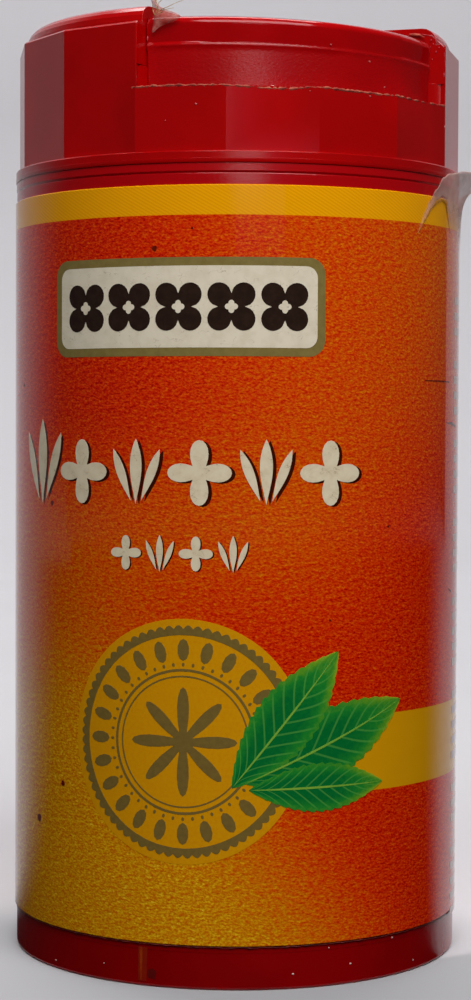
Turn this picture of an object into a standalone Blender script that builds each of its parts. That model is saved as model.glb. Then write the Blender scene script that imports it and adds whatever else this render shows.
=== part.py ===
"""Round spice jar with a faceted snap cap, a pour flap and a wrap label.

The jar stands upright on the XY plane with its axis on Z. Its shown side faces -Y.
Angles named phi are measured from that side, positive towards +X.
"""
import math

import bmesh
import bpy
from mathutils import Vector

MM = 0.001

# Whole jar
LABEL_RADIUS = 23.0 * MM
JOINT_GAP = 0.3 * MM
ROUND_SEGMENTS = 80

# Moulded jar body
BASE_RADIUS = 22.8 * MM
BASE_TOP = 3.9 * MM
BASE_BEVEL = 0.2 * MM
FOOT_GROOVE_INNER = 17.0 * MM
FOOT_GROOVE_OUTER = 20.5 * MM
FOOT_GROOVE_DEPTH = 0.7 * MM
NECK_RADIUS = 22.65 * MM
NECK_GROOVE_Z = 77.4 * MM
NECK_GROOVE_DEPTH = 0.2 * MM
NECK_TOP = 78.3 * MM

# Wrap label
LABEL_BOTTOM = 4.25 * MM
LABEL_TOP = 76.3 * MM
LABEL_THICKNESS = 0.4 * MM
SEAM_PHI = 168.0
SEAM_OVERLAP = 26.0
SEAM_RISE = 0.15 * MM

# Cap
CAP_BOTTOM = NECK_TOP + JOINT_GAP
FLANGE_RADIUS = 22.95 * MM
FLANGE_TOP = 79.5 * MM
FACETS = 16
FIRST_CORNER_PHI = -24.6
FACET_CORNER_RADIUS = 22.8 * MM
FACET_TOP = 91.8 * MM
FACET_BEVEL = 0.18 * MM
SHOULDER_RADIUS = 21.85 * MM
SHOULDER_ROUND = 1.4 * MM
CAP_TOP = 93.5 * MM
CAP_LEAN = 0.5 * MM

# Recess that the flap lies in, four facets wide
FLAP_FACETS = 4
LEDGE_Z = 85.6 * MM
JAMB_STEP_Z = 87.8 * MM
RECESS_WALL_RADIUS = 19.6 * MM
DECK_Z = 90.6 * MM
JAMB_MARGIN = 0.2 * MM
JAMB_ANGLE = 50.0
LOWER_JAMB_ANGLE = 38.0
HINGE_DISTANCE = 10.4 * MM
WALL_STEP = 0.1 * MM

# Limits of the shapes that cut others
PAST_JAR = 1.3 * LABEL_RADIUS
ABOVE_CAP = CAP_TOP + 2.0 * MM

# Flap
FLAP_RADIUS = 20.95 * MM
FLAP_BAND_RISE = 0.12 * MM
FLAP_RIDGE_RISE = 0.2 * MM
FLAP_RIDGE_Z = 89.55 * MM
FLAP_TOP = 92.3 * MM
FLAP_ROUND = 0.8 * MM
FLAP_SKIRT = 1.0 * MM
FLAP_PLATE = 1.3 * MM
FLAP_DROOP = 0.14 * MM

# Peeled clear film at the label's upper right, between two angles
FILM_THICKNESS = 0.15 * MM
FILM_START_PHI = 47.6
FILM_END_PHI = 124.0
FILM_CORNER_PHI = 61.0
FILM_CORNER_Z = 78.7 * MM
FILM_TOP = 79.3 * MM
FILM_TOP_PHI = 76.0
FILM_ROOT_START = 72.2 * MM
FILM_ROOT_LOW = 69.6 * MM
FILM_FLARE = 3.5 * MM
FILM_FLARE_POWER = 5.0
FILM_FLARE_START_PHI = 58.0
FILM_FLARE_FULL_PHI = 90.0
FILM_COLUMNS = 20
FILM_ROWS = 7

# Torn bit of film that stands in the flap's left corner
SCRAP_THICKNESS = 0.15 * MM
SCRAP_PHI = -21.6
SCRAP_RADIUS = 21.55 * MM
SCRAP_FOOT_Z = 90.9 * MM
SCRAP_WIDTH = 2.7 * MM
SCRAP_SHOULDER = 1.35 * MM
SCRAP_HEIGHT = 4.0 * MM
SCRAP_ROWS = 6


def remove_all_objects():
    for item in list(bpy.data.objects):
        bpy.data.objects.remove(item, do_unlink=True)


def material(name, colour, roughness, transmission=0.0):
    surface = bpy.data.materials.new(name)
    surface.use_nodes = True
    shader = surface.node_tree.nodes["Principled BSDF"]
    shader.inputs["Base Color"].default_value = (*colour, 1.0)
    shader.inputs["Roughness"].default_value = roughness
    shader.inputs["Metallic"].default_value = 0.0
    shader.inputs["Transmission Weight"].default_value = transmission
    return surface


def add_object(name, shape, surface=None, smooth_angle=35.0):
    """Turn a bmesh into a named object with outward faces."""
    bmesh.ops.recalc_face_normals(shape, faces=shape.faces)
    mesh = bpy.data.meshes.new(name)
    shape.to_mesh(mesh)
    shape.free()
    mesh.shade_smooth()
    mesh.set_sharp_from_angle(angle=math.radians(smooth_angle))
    item = bpy.data.objects.new(name, mesh)
    bpy.context.scene.collection.objects.link(item)
    if surface:
        mesh.materials.append(surface)
    return item


def at(phi, radius, z):
    """Point at an angle in degrees from the shown side, on a circle round the jar's axis."""
    angle = math.radians(phi)
    return Vector((radius * math.sin(angle), -radius * math.cos(angle), z))


def quarter_round(centre_r, centre_z, radius, steps):
    """Profile points from a vertical wall over a rounded edge to a flat top."""
    points = []
    for step in range(steps + 1):
        angle = 0.5 * math.pi * step / steps
        points.append((centre_r + radius * math.cos(angle), centre_z + radius * math.sin(angle)))
    return points


def turned(profile, ring=False, segments=ROUND_SEGMENTS):
    """Solid of revolution of an (r, z) profile, which starts and ends on the axis or is a closed ring."""
    shape = bmesh.new()
    rings = []
    for radius, z in profile:
        if radius == 0.0:
            rings.append([shape.verts.new((0.0, 0.0, z))] * segments)
            continue
        rings.append([shape.verts.new(at(360.0 * k / segments, radius, z)) for k in range(segments)])
    if ring:
        rings.append(rings[0])
    for lower, upper in zip(rings, rings[1:]):
        for k in range(segments):
            n = (k + 1) % segments
            corners = [lower[k], lower[n], upper[n], upper[k]]
            shape.faces.new(list(dict.fromkeys(corners)))
    return shape


def prism(outline, bottom, top):
    """Straight prism over a plan outline of (x, y) points."""
    shape = bmesh.new()
    base = [shape.verts.new((x, y, bottom)) for x, y in outline]
    face = shape.faces.new(base)
    lifted = bmesh.ops.extrude_face_region(shape, geom=[face])["geom"]
    raised = [item for item in lifted if isinstance(item, bmesh.types.BMVert)]
    bmesh.ops.translate(shape, verts=raised, vec=(0.0, 0.0, top - bottom))
    return shape


def apply_boolean(target, tool, operation):
    """Combine the target with a tool object and remove the tool."""
    tool.hide_render = True
    tool.display_type = "WIRE"
    step = target.modifiers.new(operation.lower(), "BOOLEAN")
    step.operation = operation
    step.solver = "EXACT"
    step.object = tool
    depsgraph = bpy.context.evaluated_depsgraph_get()
    result = bpy.data.meshes.new_from_object(target.evaluated_get(depsgraph))
    target.modifiers.remove(step)
    old = target.data
    target.data = result
    result.name = target.name
    bpy.data.meshes.remove(old)
    bpy.data.objects.remove(tool, do_unlink=True)


def lean(item):
    """Let everything above the flange sink a little towards +X, as the snapped-on cap does."""
    for vertex in item.data.vertices:
        lift = (vertex.co.z - FLANGE_TOP) / (CAP_TOP - FLANGE_TOP)
        if lift > 0.0:
            vertex.co.z -= 0.5 * CAP_LEAN * lift * vertex.co.x / LABEL_RADIUS


def flap_frame():
    """Outward and sideways unit vectors of the flap, and the half angle that it spans."""
    half = 0.5 * FLAP_FACETS * 360.0 / FACETS
    outward = at(FIRST_CORNER_PHI + half, 1.0, 0.0)
    sideways = Vector((-outward.y, outward.x, 0.0))
    return outward, sideways, half


def sector(jamb_angle, inset):
    """Plan of the flap's sector, whose sides start beside the two facet corners next to it.

    inset moves the sides and the hinge line inwards. The sector runs out past the jar.
    """
    outward, sideways, half = flap_frame()
    corner_out = FACET_CORNER_RADIUS * math.cos(math.radians(half))
    corner_side = FACET_CORNER_RADIUS * math.sin(math.radians(half))
    slope = math.tan(math.radians(jamb_angle))
    side_inset = inset / math.cos(math.radians(jamb_angle))
    outline = []
    for distance, side in (
        (HINGE_DISTANCE + inset, 1),
        (PAST_JAR, 1),
        (PAST_JAR, -1),
        (HINGE_DISTANCE + inset, -1),
    ):
        half_width = corner_side + (distance - corner_out - JAMB_MARGIN) * slope - side_inset
        point = outward * distance + sideways * side * half_width
        outline.append((point.x, point.y))
    return outline


def fan_shape(name, turned_shape, jamb_angle, inset, surface=None):
    """The part of a turned shape that lies within the flap's sector."""
    item = add_object(name, turned_shape, surface)
    plan = prism(sector(jamb_angle, inset), BASE_TOP, ABOVE_CAP + MM)
    apply_boolean(item, add_object("plan_tool", plan), "INTERSECT")
    return item


def jar_body(surface):
    """Solid jar with a base ring, a sunk panel under the label and two neck rings."""
    panel_radius = LABEL_RADIUS - LABEL_THICKNESS - JOINT_GAP
    neck_bottom = LABEL_TOP + JOINT_GAP
    groove_radius = NECK_RADIUS - NECK_GROOVE_DEPTH
    profile = [
        (0.0, 0.0),
        (FOOT_GROOVE_INNER, 0.0),
        (FOOT_GROOVE_INNER + FOOT_GROOVE_DEPTH, FOOT_GROOVE_DEPTH),
        (FOOT_GROOVE_OUTER - FOOT_GROOVE_DEPTH, FOOT_GROOVE_DEPTH),
        (FOOT_GROOVE_OUTER, 0.0),
        (BASE_RADIUS - BASE_BEVEL, 0.0),
        (BASE_RADIUS, BASE_BEVEL),
        (BASE_RADIUS, BASE_TOP),
        (panel_radius, BASE_TOP),
        (panel_radius, neck_bottom),
        (NECK_RADIUS, neck_bottom),
        (NECK_RADIUS, NECK_GROOVE_Z - NECK_GROOVE_DEPTH),
        (groove_radius, NECK_GROOVE_Z),
        (NECK_RADIUS, NECK_GROOVE_Z + NECK_GROOVE_DEPTH),
        (NECK_RADIUS, NECK_TOP - NECK_GROOVE_DEPTH),
        (groove_radius, NECK_TOP),
        (0.0, NECK_TOP),
    ]
    return add_object("jar_body", turned(profile), surface)


def wrap_label(surface):
    """Sleeve round the jar whose end lies over its start, in a strip down the back."""
    step_angle = 360.0 / ROUND_SEGMENTS
    lip = 0.3
    inner = []
    outer = []
    for k in range(ROUND_SEGMENTS):
        phi = SEAM_PHI + k * step_angle
        lifted = k * step_angle < SEAM_OVERLAP
        radius = LABEL_RADIUS + (SEAM_RISE if lifted else 0.0)
        if k == 0:
            inner.append((phi - lip, LABEL_RADIUS - LABEL_THICKNESS))
            outer.append((phi - lip, LABEL_RADIUS))
        inner.append((phi, LABEL_RADIUS - LABEL_THICKNESS))
        outer.append((phi, radius))
    shape = bmesh.new()
    loops = []
    for ring, z in ((outer, LABEL_BOTTOM), (outer, LABEL_TOP), (inner, LABEL_TOP), (inner, LABEL_BOTTOM)):
        loops.append([shape.verts.new(at(phi, radius, z)) for phi, radius in ring])
    count = len(inner)
    for first, second in zip(loops, loops[1:] + loops[:1]):
        for k in range(count):
            n = (k + 1) % count
            shape.faces.new((first[k], first[n], second[n], second[k]))
    return add_object("wrap_label", shape, surface)


def faceted_cap(surface):
    """Cap with a round flange, sixteen facets, a rounded shoulder and the flap's recess."""
    core = [
        (0.0, CAP_BOTTOM),
        (FLANGE_RADIUS - 0.2 * MM, CAP_BOTTOM),
        (FLANGE_RADIUS, CAP_BOTTOM + 0.2 * MM),
        (FLANGE_RADIUS, FLANGE_TOP - 0.1 * MM),
        (FLANGE_RADIUS - 0.08 * MM, FLANGE_TOP),
        (SHOULDER_RADIUS, FLANGE_TOP),
    ]
    core += quarter_round(SHOULDER_RADIUS - SHOULDER_ROUND, CAP_TOP - SHOULDER_ROUND, SHOULDER_ROUND, 5)
    core.append((0.0, CAP_TOP))
    cap = add_object("faceted_cap", turned(core), surface)

    facet_angle = 360.0 / FACETS
    corners = [at(FIRST_CORNER_PHI + k * facet_angle, FACET_CORNER_RADIUS, 0.0) for k in range(FACETS)]
    body = prism([(p.x, p.y) for p in corners], FLANGE_TOP - 0.4 * MM, FACET_TOP)
    top_edges = [edge for edge in body.edges if all(v.co.z == edge.verts[0].co.z for v in edge.verts)]
    top_edges = [edge for edge in top_edges if edge.verts[0].co.z > FLANGE_TOP]
    bmesh.ops.bevel(body, geom=top_edges, offset=FACET_BEVEL, affect="EDGES")
    apply_boolean(cap, add_object("facet_tool", body), "UNION")

    lower_ring = [
        (RECESS_WALL_RADIUS, LEDGE_Z),
        (PAST_JAR, LEDGE_Z),
        (PAST_JAR, JAMB_STEP_Z),
        (RECESS_WALL_RADIUS, JAMB_STEP_Z),
    ]
    upper_step = [
        (0.0, DECK_Z),
        (RECESS_WALL_RADIUS + WALL_STEP, DECK_Z),
        (RECESS_WALL_RADIUS + WALL_STEP, 0.5 * (LEDGE_Z + JAMB_STEP_Z)),
        (PAST_JAR, 0.5 * (LEDGE_Z + JAMB_STEP_Z)),
        (PAST_JAR, ABOVE_CAP),
        (0.0, ABOVE_CAP),
    ]
    for profile, ring, jamb_angle in (
        (lower_ring, True, LOWER_JAMB_ANGLE),
        (upper_step, False, JAMB_ANGLE),
    ):
        tool = fan_shape("recess_tool", turned(profile, ring), jamb_angle, 0.0)
        apply_boolean(cap, tool, "DIFFERENCE")
    lean(cap)
    return cap


def pour_flap(surface):
    """Fan-shaped flap: a top plate with a rounded rim, and a skirt with a finger ridge."""
    bottom = LEDGE_Z + JOINT_GAP
    band_radius = FLAP_RADIUS + FLAP_BAND_RISE
    ridge_radius = FLAP_RADIUS + FLAP_RIDGE_RISE
    profile = [
        (0.0, FLAP_TOP - FLAP_PLATE),
        (FLAP_RADIUS - FLAP_SKIRT, FLAP_TOP - FLAP_PLATE),
        (FLAP_RADIUS - FLAP_SKIRT, bottom),
        (FLAP_RADIUS - 0.1 * MM, bottom),
        (FLAP_RADIUS, bottom + 0.1 * MM),
        (FLAP_RADIUS, FLAP_RIDGE_Z - 0.3 * MM),
        (ridge_radius, FLAP_RIDGE_Z - 0.1 * MM),
        (ridge_radius, FLAP_RIDGE_Z + 0.1 * MM),
        (band_radius, FLAP_RIDGE_Z + 0.3 * MM),
    ]
    profile += quarter_round(band_radius - FLAP_ROUND, FLAP_TOP - FLAP_ROUND, FLAP_ROUND, 4)
    profile.append((0.0, FLAP_TOP))
    flap = fan_shape("pour_flap", turned(profile), JAMB_ANGLE, JOINT_GAP, surface)
    sideways = flap_frame()[1]
    reach = max(abs(vertex.co.dot(sideways)) for vertex in flap.data.vertices)
    for vertex in flap.data.vertices:
        lift = (vertex.co.z - bottom) / (FLAP_TOP - bottom)
        vertex.co.z -= FLAP_DROOP * lift * vertex.co.dot(sideways) / reach
    lean(flap)
    return flap


def ramp(value, start, end):
    """0 before start, 1 after end, and a smooth S between them."""
    t = min(1.0, max(0.0, (value - start) / (end - start)))
    return t * t * (3.0 - 2.0 * t)


def film_point(u, v):
    """Point on the peeled film: u runs round the jar, v from the attached root to the free edge."""
    phi = FILM_START_PHI + (FILM_END_PHI - FILM_START_PHI) * u
    root = FILM_ROOT_START - (FILM_ROOT_START - FILM_ROOT_LOW) * math.sin(math.pi * u)
    rise = min(1.0, (phi - FILM_START_PHI) / (FILM_CORNER_PHI - FILM_START_PHI))
    tip = FILM_ROOT_START + JOINT_GAP + (FILM_CORNER_Z - FILM_ROOT_START - JOINT_GAP) * rise
    tip += (FILM_TOP - FILM_CORNER_Z) * ramp(phi, FILM_CORNER_PHI, FILM_TOP_PHI)
    fall = ramp(phi, FILM_FLARE_FULL_PHI + 10.0, FILM_END_PHI)
    tip -= (FILM_TOP - FILM_ROOT_START - JOINT_GAP) * fall
    flare = FILM_FLARE * ramp(phi, FILM_FLARE_START_PHI, FILM_FLARE_FULL_PHI) * (1.0 - fall)
    radius = LABEL_RADIUS + JOINT_GAP + FILM_THICKNESS + flare * v ** FILM_FLARE_POWER
    return at(phi, radius, root + (tip - root) * v)


def film_curl(surface):
    """Loose corner of the clear wrap that stands off the jar like an opened collar."""
    shape = bmesh.new()
    grid = []
    for i in range(FILM_COLUMNS + 1):
        heights = [(j / FILM_ROWS) ** 0.75 for j in range(FILM_ROWS + 1)]
        column = [film_point(i / FILM_COLUMNS, v) for v in heights]
        grid.append([shape.verts.new(point) for point in column])
    for left, right in zip(grid, grid[1:]):
        for j in range(FILM_ROWS):
            shape.faces.new((left[j], right[j], right[j + 1], left[j + 1]))
    item = add_object("film_curl", shape, surface)
    wall = item.modifiers.new("wall", "SOLIDIFY")
    wall.thickness = FILM_THICKNESS
    wall.offset = 0.0
    return item


def film_scrap(surface):
    """Torn, twisted shred of film with a wide foot and a narrow tip."""
    shape = bmesh.new()
    rows = []
    for k in range(SCRAP_ROWS + 1):
        t = k / SCRAP_ROWS
        z = SCRAP_FOOT_Z + SCRAP_HEIGHT * t
        swell = math.exp(-((z - SCRAP_FOOT_Z - SCRAP_SHOULDER) / (0.55 * SCRAP_SHOULDER)) ** 2)
        width = 0.45 * MM + (SCRAP_WIDTH - 0.45 * MM) * swell
        left = math.degrees(0.15 * MM * math.sin(5.0 * t) / SCRAP_RADIUS)
        row = []
        for s in (0.0, 0.5, 1.0):
            phi = SCRAP_PHI + left + math.degrees(width * s / SCRAP_RADIUS)
            bulge = 0.25 * MM * math.sin(math.pi * s) * swell
            row.append(shape.verts.new(at(phi, SCRAP_RADIUS + bulge, z)))
        rows.append(row)
    for lower, upper in zip(rows, rows[1:]):
        for k in range(2):
            shape.faces.new((lower[k], lower[k + 1], upper[k + 1], upper[k]))
    item = add_object("film_scrap", shape, surface)
    wall = item.modifiers.new("wall", "SOLIDIFY")
    wall.thickness = SCRAP_THICKNESS
    wall.offset = 0.0
    return item


def main():
    remove_all_objects()
    jar_body(material("jar_red", (0.22, 0.0, 0.006), 0.25))
    wrap_label(material("label_orange", (0.58, 0.05, 0.0), 0.22))
    faceted_cap(material("cap_red", (0.28, 0.0, 0.003), 0.25))
    pour_flap(material("flap_red", (0.3, 0.0, 0.004), 0.3))
    film_curl(material("clear_wrap", (0.8, 0.72, 0.7), 0.15, transmission=0.8))
    film_scrap(material("torn_wrap", (0.5, 0.3, 0.26), 0.3, transmission=0.5))


main()
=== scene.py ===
"""Looks of the red spice jar: plastic, printed wrap, loose film, dirt, light and camera.

The jar stands on Z = 0 with its axis on Z and its shown side towards -Y.
Angles named phi are in degrees from the shown side, positive towards +X.
Print is laid out flat in millimetres: arc runs to the right from the middle of
the shown side, height runs up from the floor.
"""
import random
from math import ceil, cos, degrees, exp, floor, hypot, log, pi, radians, sin

import bmesh
import bpy
from mathutils import Matrix, Vector


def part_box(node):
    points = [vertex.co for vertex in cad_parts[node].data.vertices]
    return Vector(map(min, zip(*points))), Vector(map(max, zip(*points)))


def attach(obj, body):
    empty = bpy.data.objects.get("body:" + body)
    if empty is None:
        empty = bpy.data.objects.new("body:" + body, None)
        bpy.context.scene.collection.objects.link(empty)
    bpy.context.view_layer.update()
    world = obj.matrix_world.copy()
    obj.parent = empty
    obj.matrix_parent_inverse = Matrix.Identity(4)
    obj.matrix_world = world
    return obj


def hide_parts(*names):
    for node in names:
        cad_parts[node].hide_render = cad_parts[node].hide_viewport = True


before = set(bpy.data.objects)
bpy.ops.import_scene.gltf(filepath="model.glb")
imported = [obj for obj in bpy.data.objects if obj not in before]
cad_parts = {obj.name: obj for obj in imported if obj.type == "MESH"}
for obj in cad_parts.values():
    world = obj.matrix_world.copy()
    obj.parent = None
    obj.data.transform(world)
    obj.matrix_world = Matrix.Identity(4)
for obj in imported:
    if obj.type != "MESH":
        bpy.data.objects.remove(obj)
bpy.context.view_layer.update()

MM = 0.001
BODY = "root"
FULL_TURN = 2 * pi

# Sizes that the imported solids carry, in millimetres and degrees
LABEL_RADIUS = 23
LABEL_WALL = 0.4
LABEL_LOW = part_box("wrap_label")[0].z / MM
LABEL_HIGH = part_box("wrap_label")[1].z / MM
SEAM_PHI = 168
SEAM_OVERLAP = 26
SEAM_RISE = 0.15
BASE_RADIUS = 22.8
CAP_CORNER_RADIUS = 22.8
CAP_CORNER_PHI = -24.6
CAP_FACET = 22.5
FLAP_MIDDLE_PHI = 20.4
RECESS_RADIUS = 21.5
ARC_PER_DEGREE = radians(LABEL_RADIUS)

# Layers of ink over the label, in millimetres above it
SHADOW_LAYER = 0.012
FIRST_LAYER = 0.02
SECOND_LAYER = 0.032
THIRD_LAYER = 0.044
FOURTH_LAYER = 0.056
INK_DEPTH = 0.02


def colour(red, green, blue):
    """Linear colour from the usual 0 to 255 screen values."""
    shares = (part / 255 for part in (red, green, blue))
    return (*(s / 12.92 if s <= 0.04045 else ((s + 0.055) / 1.055) ** 2.4 for s in shares), 1)


def dimmed(shade, share):
    return (*(share * part for part in shade[:3]), 1)


def at(phi, radius, height):
    """Point in metres at an angle from the shown side, a radius and a height in millimetres."""
    angle = radians(phi)
    return Vector((radius * sin(angle), -radius * cos(angle), height)) * MM


def filled_in(item, **settings):
    """The item, with these properties set."""
    for key, value in settings.items():
        setattr(item, key, value)
    return item


def in_scene(name, data):
    """New object that holds a mesh, a light or a camera."""
    item = bpy.data.objects.new(name, data)
    bpy.context.scene.collection.objects.link(item)
    return item


# Materials


class Value:
    """Number, colour or vector inside a node tree, on which sums add the nodes for them."""

    def __init__(self, owner, socket):
        self.owner = owner
        self.socket = socket

    def __add__(self, other):
        return self.owner.calc("ADD", self, other)

    def __sub__(self, other):
        return self.owner.calc("SUBTRACT", self, other)

    def __rsub__(self, other):
        return self.owner.calc("SUBTRACT", other, self)

    def __mul__(self, other):
        return self.owner.calc("MULTIPLY", self, other)

    def __abs__(self):
        return self.owner.calc("ABSOLUTE", self)

    def step(self, start, end):
        """0 at start, 1 at end, with soft ends."""
        return self.owner.made("ShaderNodeMapRange", {
            "Value": self, "From Min": min(start, end), "From Max": max(start, end),
            "To Min": int(start > end), "To Max": int(start < end),
        }, "Result", interpolation_type="SMOOTHSTEP")


class NodeTree:
    """Nodes under construction: each call adds a node and hands back its value."""

    def __init__(self, tree):
        self.tree = tree

    def put(self, socket, value):
        if isinstance(value, Value):
            self.tree.links.new(value.socket, socket)
        else:
            socket.default_value = value

    def made(self, kind, inputs, output=0, **settings):
        """One output of a new node that has these inputs."""
        item = filled_in(self.tree.nodes.new(kind), **settings)
        for key, value in inputs.items():
            self.put(item.inputs[key], value)
        return Value(self, item.outputs[output])

    def calc(self, operation, *terms):
        return self.made("ShaderNodeMath", dict(enumerate(terms)), operation=operation)

    def scaled(self, vector, factor):
        """Vector or colour times a number."""
        return self.made("ShaderNodeVectorMath", {0: vector, "Scale": factor}, operation="SCALE")


class Finish(NodeTree):
    """A material, whose nodes end in one shader."""

    def __init__(self, name, roughness, coat=0):
        self.material = bpy.data.materials.new(name)
        self.material.use_nodes = True
        super().__init__(self.material.node_tree)
        self.shader = self.tree.nodes["Principled BSDF"]
        self.set("Roughness", roughness)
        self.set("IOR", 1.4)
        if coat:
            self.set("Specular IOR Level", 0)
            self.set("Coat Weight", coat)
            self.set("Coat Roughness", 0.07)
            self.set("Coat IOR", 1.32)

    def set(self, name, value):
        self.put(self.shader.inputs[name], value)

    def mix(self, factor, first, second):
        return self.made("ShaderNodeMix", {0: factor, 6: first, 7: second}, 2, data_type="RGBA")

    def ramp(self, value, *stops):
        """Colour that runs through (position, red, green, blue) stops."""
        result = self.made("ShaderNodeValToRGB", {0: value})
        scale = result.socket.node.color_ramp.elements
        while len(scale) < len(stops):
            scale.new(1)
        for element, (position, *shade) in zip(scale, stops):
            element.position = position
            element.color = colour(*shade)
        return result

    def solid_place(self):
        """Object coordinates in millimetres."""
        return self.scaled(self.made("ShaderNodeTexCoord", {}, "Object"), 1 / MM)

    def uv_place(self, name):
        return self.split(self.made("ShaderNodeUVMap", {}, uv_map=name))[:2]

    def split(self, vector):
        item = self.made("ShaderNodeSeparateXYZ", {0: vector}).socket.node
        return [Value(self, output) for output in item.outputs]

    def join(self, x, y):
        return self.made("ShaderNodeCombineXYZ", {0: x, 1: y})

    def round_jar(self, place, axis_x=0, axis_y=0):
        """Angle in radians from the shown side round an upright axis, and the height."""
        x, y, height = self.split(place)
        return self.calc("ARCTAN2", x - axis_x, axis_y - y), height

    def print_place(self):
        """(arc, height) in millimetres round the label, with the jump at the label's seam."""
        spare = 180 - SEAM_PHI
        turned = self.made("ShaderNodeVectorRotate", {
            "Vector": self.solid_place(), "Angle": radians(spare),
        }, rotation_type="Z_AXIS")
        angle, height = self.round_jar(turned)
        return angle * LABEL_RADIUS - spare * ARC_PER_DEGREE, height

    def noise(self, place, scale, detail=2, sharpness=0.5):
        return self.made("ShaderNodeTexNoise", {
            "Vector": place, "Scale": scale, "Detail": detail, "Roughness": sharpness,
        })

    def bump(self, height, depth):
        """Relief of that depth in metres."""
        self.set("Normal", self.made("ShaderNodeBump", {
            "Strength": 1, "Distance": depth, "Height": height,
        }))


def red_plastic(name, shade, roughness, peel, scuffs, high_shade=None, glossy_from=None):
    """Glossy moulded red plastic, mottled and scuffed, with a little orange peel.

    high_shade is the colour above the label, where light from behind brightens the plastic.
    glossy_from is the height in millimetres above which the plastic is smoother.
    """
    paint = Finish(name, roughness)
    paint.set("IOR", 1.36)
    place = paint.solid_place()
    height = paint.split(place)[2]
    scuff = paint.noise(place, 2.6, 5, 0.65)
    dull = scuff.step(0.52, 0.72) * scuffs
    cloud = paint.noise(place, 0.12, 3)
    base = paint.mix(cloud.step(0.35, 0.65), dimmed(shade, 0.86), shade)
    if high_shade:
        base = paint.mix(height.step(60, 76), base, high_shade)
    paint.set("Base Color", paint.mix(dull * 0.07, base, colour(190, 60, 62)))
    rough = dull * 0.2 + roughness
    relief_share = 1
    if glossy_from:
        glossy = height.step(glossy_from, glossy_from + 0.3)
        rough = rough - glossy * 0.14
        relief_share = 1 - glossy * 0.8
    paint.set("Roughness", rough)
    flowing = paint.made("ShaderNodeMapping", {"Vector": place, "Scale": (1, 1, 1.6)})
    relief = paint.noise(flowing, 3.2) + scuff * 0.3
    paint.bump(relief * relief_share, peel)
    return paint.material


def grain_print():
    """Printed wrap: red, orange and ochre grains, a yellow band on top and a yellow ribbon."""
    paint = Finish("grain_print", 0.3, coat=1)
    arc, height = paint.print_place()

    # How far the print has turned from red towards yellow
    upper = (height - arc * 0.3).step(34, 54)
    upper_right = arc.step(-14, 10) * 0.16
    upper_right += arc.step(12, 28) * height.step(58, 72) * 0.07
    belt = abs(height - 43).step(14, 0) * arc.step(22, 4)
    belt *= arc.step(0, -18) * 0.05 + 0.14
    corner = (height * 0.7 + arc).step(26.2, 1.2) * (1 - upper)
    corner *= height.step(42, 22) * 0.27 + 0.2
    away_from_seam = arc.step(-76, -50)
    hue = upper * upper_right + (belt + corner) * away_from_seam + 0.17

    # Grains lie flat and lean a little, each with a painted highlight above and painted shade
    # below
    lean = height * 0.6 + arc
    flat = height * 1.7 - arc * 0.15
    place = paint.join(lean, flat)
    grain = paint.noise(place, 1.5, 5, 0.75)
    relief = grain - paint.noise(paint.join(lean, flat - 0.26), 1.5, 5, 0.75)
    fleck = paint.noise(place, 3.4, 2, 0.6) - 0.5
    field = paint.ramp(
        hue + (grain - 0.5) * 0.9 + relief * 0.2 + fleck * 0.6,
        (0, 176, 2, 0),
        (0.17, 204, 34, 0),
        (0.27, 208, 56, 2),
        (0.4, 208, 84, 2),
        (0.6, 202, 124, 4),
        (0.8, 214, 166, 14),
        (1, 238, 205, 80),
    )
    # Painted light: the print grows up to 6% lighter towards the bottom, against the lamps'
    # fall-off
    bottom_painted_light = height.step(44, 8) * 0.06
    field = paint.scaled(field, relief * 0.62 + fleck * 0.85 + bottom_painted_light + 0.97)

    # The ribbon starts beside the roundel; the band on top is screened in slanting lines
    edge = 0.08
    ribbon_low, ribbon_high, ribbon_start, band_low = 18.55, 25.95, -4.8, 73.42
    on_ribbon = height.step(ribbon_low, ribbon_low + edge)
    on_ribbon *= height.step(ribbon_high, ribbon_high - edge)
    on_ribbon *= arc.step(ribbon_start, ribbon_start + 0.1)
    field = paint.mix(on_ribbon, field, colour(212, 149, 4))
    line_pitch = 0.33
    lines = paint.calc("SINE", (arc * 0.55 + height) * (FULL_TURN / line_pitch))
    yellow = paint.mix(lines.step(-1, 1), colour(224, 147, 0), colour(234, 161, 1))
    paint.set("Base Color", paint.mix(height.step(band_low, band_low + edge), field, yellow))
    paint.bump(paint.noise(paint.join(arc, height), 0.35), 0.00004)
    return paint.material


def ink(name, shade, other, scale=1.2, hairs=0):
    """Flat printed colour under the same clear wrap, a little uneven, with fine scratches."""
    paint = Finish(name, 0.3, coat=1)
    arc, height = paint.print_place()
    place = paint.join(arc, height)
    uneven = paint.noise(place, scale, 4, 0.6).step(0.35, 0.7)
    base = paint.mix(uneven * 0.5, colour(*shade), colour(*other))
    if hairs:
        level = paint.noise(paint.join(arc, height * 1.6), 0.8) - 0.5
        line = abs(level).step(0.008, 0.002)
        patch = paint.noise(place, 0.9, 1).step(0.5, 0.6)
        base = paint.mix(line * patch * hairs, base, colour(120, 84, 60))
    paint.set("Base Color", base)
    return paint.material


def leaf_ink():
    """Printed leaf: teal green that turns yellow-green at its rim and tip, with side veins."""
    paint = Finish("leaf_green_ink", 0.3, coat=1)
    along, across = paint.uv_place("leaf_place")
    across = abs(across)
    speckle = paint.noise(paint.join(*paint.print_place()), 2.4, 3, 0.6) - 0.5
    base = paint.ramp(
        across.step(0.35, 1.05) * 0.45 + along.step(0.55, 1) * 0.55 + speckle * 0.5,
        (0, 4, 104, 44),
        (0.35, 30, 128, 42),
        (0.7, 92, 150, 30),
        (1, 150, 170, 40),
    )
    side_veins = 11
    wave = paint.calc("SINE", (along * side_veins - across * 2.2) * FULL_TURN)
    vein = wave.step(0.7, 1) * across.step(1, 0.75)
    paint.set("Base Color", paint.mix(vein * 0.4, base, colour(96, 168, 70)))
    return paint.material


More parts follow.
